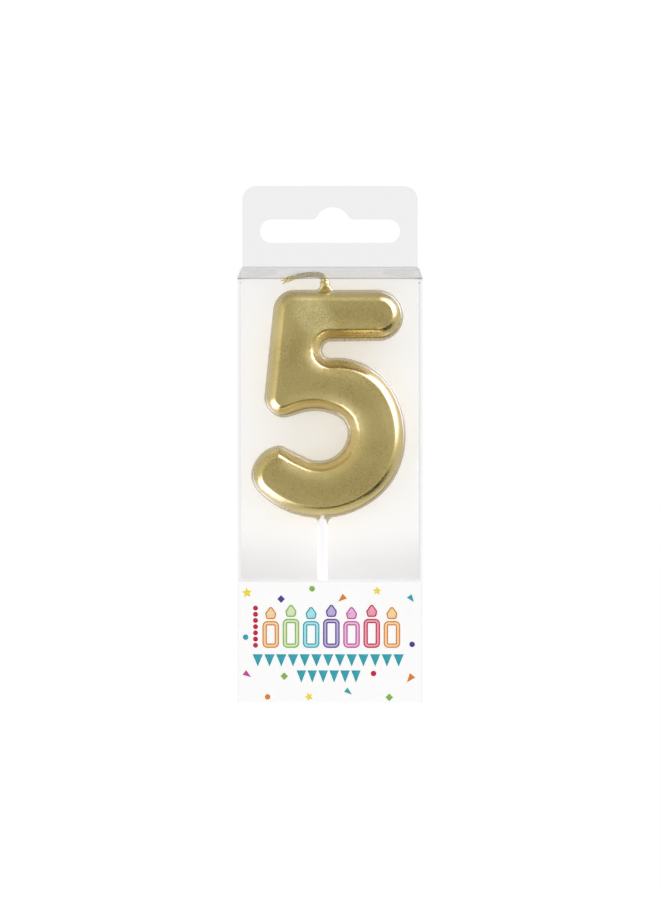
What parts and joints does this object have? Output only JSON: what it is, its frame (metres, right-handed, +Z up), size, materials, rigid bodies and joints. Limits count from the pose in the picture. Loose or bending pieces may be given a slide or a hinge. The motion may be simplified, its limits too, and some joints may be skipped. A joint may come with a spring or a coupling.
{
  "type": "number birthday candle",
  "caption": "Gold wax numeral five candle with a braided wick on a white pick, standing in a folded card insert inside a clear hang pack with a lift-up roof.",
  "frame": {"origin": "middle of the pack's footprint, on the surface that it stands on", "axes": "+Z up, -Y is the front that shows the label, +X to the viewer's right"},
  "size_m": [0.0412, 0.016, 0.1167],
  "materials": {
    "gold_wax": "metallic gold paint over paraffin wax, fine pearl grain, satin",
    "wick_cotton": "braided cotton, waxed, speckled with gold paint",
    "pick_plastic": "smooth moulded white plastic",
    "clear_film": "clear glossy PET sheet, creased at the folds",
    "white_card": "smooth white card",
    "printed_card": "smooth white card printed with coloured confetti and candles, semi-gloss"
  },
  "bodies": {
    "card_insert": {"card_back_panel": "white_card", "card_bottom_panel": "white_card", "card_front_panel": "printed_card", "card_glue_tab": "white_card", "card_shelf": "white_card"},
    "candle": {"wax_numeral": "gold_wax", "wick": "wick_cotton", "pick": "pick_plastic"},
    "sleeve": {"sleeve_front_panel": "clear_film", "sleeve_back_panel": "clear_film", "sleeve_left_panel": "clear_film", "sleeve_right_panel": "clear_film", "glue_flap": "clear_film"},
    "roof": {"roof_panel": "clear_film"},
    "front_tab": {"hang_tab_front": "clear_film"},
    "left_flap": {"dust_flap_left": "clear_film"},
    "right_flap": {"dust_flap_right": "clear_film"}
  },
  "joints": [
    {"name": "candle_lift", "type": "slide", "parent": "card_insert", "child": "candle", "axis": [0, 0, 1], "range_m": [0, 0.03]},
    {"name": "sleeve_lift", "type": "slide", "parent": "candle", "child": "sleeve", "axis": [0, 0, 1], "range_m": [0, 0.11]},
    {"name": "roof_hinge", "type": "hinge", "parent": "sleeve", "child": "roof", "pos_m": [0, -0.008, 0.0946], "axis": [1, 0, 0], "range_deg": [0, 150]},
    {"name": "tab_hinge", "type": "hinge", "parent": "roof", "child": "front_tab", "pos_m": [0, 0.00735, 0.09833], "axis": [1, 0, 0], "range_deg": [0, 60]},
    {"name": "left_flap_hinge", "type": "hinge", "parent": "sleeve", "child": "left_flap", "pos_m": [-0.02065, -0.00791, 0.09421], "axis": [0, -0.9765, -0.2156], "range_deg": [0, 60]},
    {"name": "right_flap_hinge", "type": "hinge", "parent": "sleeve", "child": "right_flap", "pos_m": [0.02065, -0.00791, 0.09421], "axis": [0, 0.9765, 0.2156], "range_deg": [0, 60]}
  ],
  "couplings": [
    {"joint": "left_flap_hinge", "follows": "roof_hinge", "ratio": 0.4},
    {"joint": "right_flap_hinge", "follows": "roof_hinge", "ratio": 0.4}
  ]
}
